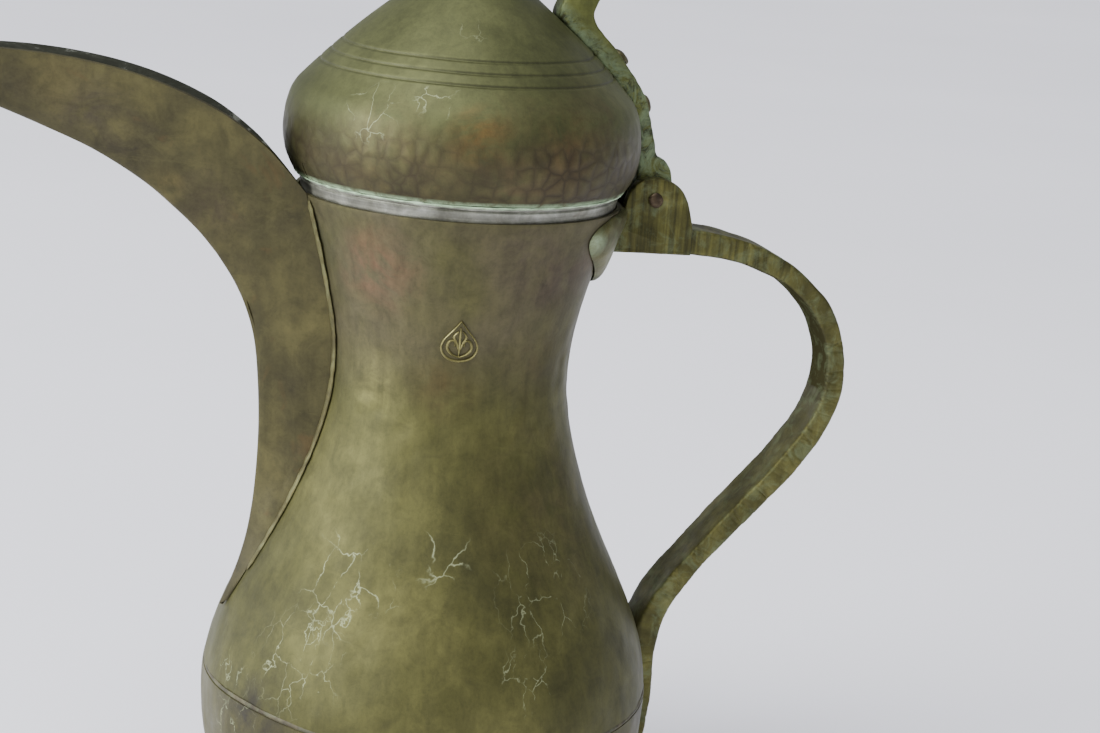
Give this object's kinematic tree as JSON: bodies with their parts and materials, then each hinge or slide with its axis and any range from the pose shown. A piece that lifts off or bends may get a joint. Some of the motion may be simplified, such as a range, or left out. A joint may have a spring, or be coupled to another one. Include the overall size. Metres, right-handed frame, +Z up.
{
  "type": "dallah coffee pot",
  "caption": "Tall dallah coffee pot with an hourglass body, open crescent beak spout, strap handle and hinged bell-shaped lid with a finial.",
  "frame": {"origin": "centre of the flat underside the pot stands on", "axes": "+Z up along the pot's axis, +X towards the handle and hinge, spout towards -X, XZ is the mirror plane"},
  "size_m": [0.3228, 0.1484, 0.34],
  "materials": {
    "body_brass": "patinated, satin",
    "bowl_brass": "patinated, satin",
    "spout_brass": "dark patina, satin",
    "lid_brass": "patinated, hammered",
    "cast_brass": "cast and filed",
    "strap_brass": "cast, green patina",
    "tinned_bezel": "tinned, worn",
    "pale_solder": "rough solder",
    "dark_solder": "rough solder",
    "verdigris_solder": "green corrosion",
    "rivet_brass": "peened",
    "pin_copper": "dark, peened",
    "finial_brass": "turned, patinated"
  },
  "bodies": {
    "pot": {"base_bowl": "bowl_brass", "body_shell": "body_brass", "belly_seam_solder": "dark_solder", "spout": "spout_brass", "spout_solder": "pale_solder", "neck_saddle": "cast_brass", "handle": "cast_brass", "handle_foot_rivets": "rivet_brass", "handle_foot_roves": "rivet_brass", "hinge_pin": "pin_copper"},
    "lid": {"lid_dome": "lid_brass", "lid_bezel": "tinned_bezel", "bezel_solder": "verdigris_solder", "lid_strap": "strap_brass", "lid_strap_rivets": "rivet_brass", "lid_strap_roves": "rivet_brass", "finial_collar": "finial_brass", "finial_spire": "finial_brass", "finial_rove": "rivet_brass"}
  },
  "joints": [
    {"name": "lid_hinge", "type": "hinge", "parent": "pot", "child": "lid", "pos_m": [0.063, 0, 0.2263], "axis": [0, 1, 0], "range_deg": [0, 105]}
  ]
}
